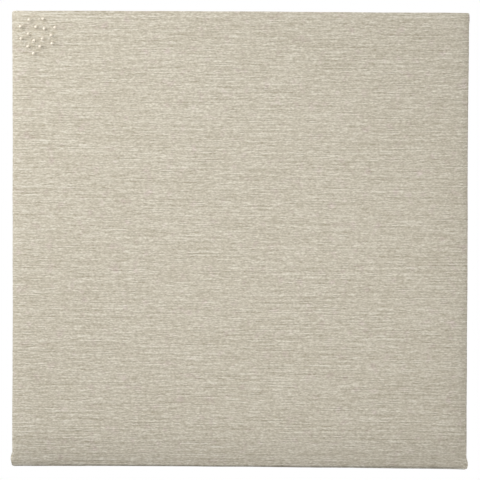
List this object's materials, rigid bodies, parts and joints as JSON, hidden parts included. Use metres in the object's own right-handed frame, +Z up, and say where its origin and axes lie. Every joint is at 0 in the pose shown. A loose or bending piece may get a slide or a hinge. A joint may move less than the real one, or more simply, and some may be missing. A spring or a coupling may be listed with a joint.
{
  "type": "pin board",
  "caption": "Square pin board, cloth stretched over softboard on a mitred back frame, hung on two keyhole plates, with removable ball-headed pins.",
  "frame": {"origin": "centre of the back panel's rear face", "axes": "+X to the right as the board is seen, +Z up, +Y towards the wall, so the cloth face looks along -Y"},
  "size_m": [0.6041, 0.0306, 0.6004],
  "materials": {
    "cloth": "matte",
    "fleece": "matte",
    "softboard": "matte",
    "pine": "matte",
    "hardboard": "matte",
    "zinc_plate": "satin",
    "staple_wire": "satin",
    "rubber": "satin",
    "pin_head": "gloss",
    "needle": "polished"
  },
  "bodies": {
    "board": {"fabric_cover": "cloth", "padding_sheet": "fleece", "core_board": "softboard", "back_panel": "hardboard", "frame_rail_top": "pine", "frame_rail_left": "pine", "frame_rail_bottom": "pine", "frame_rail_right": "pine", "staple_top_1": "staple_wire", "staple_top_2": "staple_wire", "staple_top_3": "staple_wire", "staple_left_1": "staple_wire", "staple_left_2": "staple_wire", "staple_left_3": "staple_wire", "staple_bottom_1": "staple_wire", "staple_bottom_2": "staple_wire", "staple_bottom_3": "staple_wire", "staple_right_1": "staple_wire", "staple_right_2": "staple_wire", "staple_right_3": "staple_wire", "hanger_plate_left": "zinc_plate", "hanger_plate_right": "zinc_plate", "hanger_screw_left_1": "zinc_plate", "hanger_screw_left_2": "zinc_plate", "hanger_screw_right_1": "zinc_plate", "hanger_screw_right_2": "zinc_plate", "wall_bumper_left": "rubber", "wall_bumper_right": "rubber"},
    "pin_01": {"pin_01_head": "pin_head", "pin_01_needle": "needle"},
    "pin_02": {"pin_02_head": "pin_head", "pin_02_needle": "needle"},
    "pin_03": {"pin_03_head": "pin_head", "pin_03_needle": "needle"},
    "pin_04": {"pin_04_head": "pin_head", "pin_04_needle": "needle"},
    "pin_05": {"pin_05_head": "pin_head", "pin_05_needle": "needle"},
    "pin_06": {"pin_06_head": "pin_head", "pin_06_needle": "needle"},
    "pin_07": {"pin_07_head": "pin_head", "pin_07_needle": "needle"},
    "pin_08": {"pin_08_head": "pin_head", "pin_08_needle": "needle"},
    "pin_09": {"pin_09_head": "pin_head", "pin_09_needle": "needle"},
    "pin_10": {"pin_10_head": "pin_head", "pin_10_needle": "needle"},
    "pin_11": {"pin_11_head": "pin_head", "pin_11_needle": "needle"},
    "pin_12": {"pin_12_head": "pin_head", "pin_12_needle": "needle"},
    "pin_13": {"pin_13_head": "pin_head", "pin_13_needle": "needle"},
    "pin_14": {"pin_14_head": "pin_head", "pin_14_needle": "needle"},
    "pin_15": {"pin_15_head": "pin_head", "pin_15_needle": "needle"}
  },
  "joints": [
    {"name": "pin_01_pull", "type": "slide", "parent": "board", "child": "pin_01", "axis": [0, -1, 0], "range_m": [0, 0.012]},
    {"name": "pin_02_pull", "type": "slide", "parent": "board", "child": "pin_02", "axis": [0, -1, 0], "range_m": [0, 0.012]},
    {"name": "pin_03_pull", "type": "slide", "parent": "board", "child": "pin_03", "axis": [0, -1, 0], "range_m": [0, 0.012]},
    {"name": "pin_04_pull", "type": "slide", "parent": "board", "child": "pin_04", "axis": [0, -1, 0], "range_m": [0, 0.012]},
    {"name": "pin_05_pull", "type": "slide", "parent": "board", "child": "pin_05", "axis": [0, -1, 0], "range_m": [0, 0.012]},
    {"name": "pin_06_pull", "type": "slide", "parent": "board", "child": "pin_06", "axis": [0, -1, 0], "range_m": [0, 0.012]},
    {"name": "pin_07_pull", "type": "slide", "parent": "board", "child": "pin_07", "axis": [0, -1, 0], "range_m": [0, 0.012]},
    {"name": "pin_08_pull", "type": "slide", "parent": "board", "child": "pin_08", "axis": [0, -1, 0], "range_m": [0, 0.012]},
    {"name": "pin_09_pull", "type": "slide", "parent": "board", "child": "pin_09", "axis": [0, -1, 0], "range_m": [0, 0.012]},
    {"name": "pin_10_pull", "type": "slide", "parent": "board", "child": "pin_10", "axis": [0, -1, 0], "range_m": [0, 0.012]},
    {"name": "pin_11_pull", "type": "slide", "parent": "board", "child": "pin_11", "axis": [0, -1, 0], "range_m": [0, 0.012]},
    {"name": "pin_12_pull", "type": "slide", "parent": "board", "child": "pin_12", "axis": [0, -1, 0], "range_m": [0, 0.012]},
    {"name": "pin_13_pull", "type": "slide", "parent": "board", "child": "pin_13", "axis": [0, -1, 0], "range_m": [0, 0.012]},
    {"name": "pin_14_pull", "type": "slide", "parent": "board", "child": "pin_14", "axis": [0, -1, 0], "range_m": [0, 0.012]},
    {"name": "pin_15_pull", "type": "slide", "parent": "board", "child": "pin_15", "axis": [0, -1, 0], "range_m": [0, 0.012]}
  ]
}
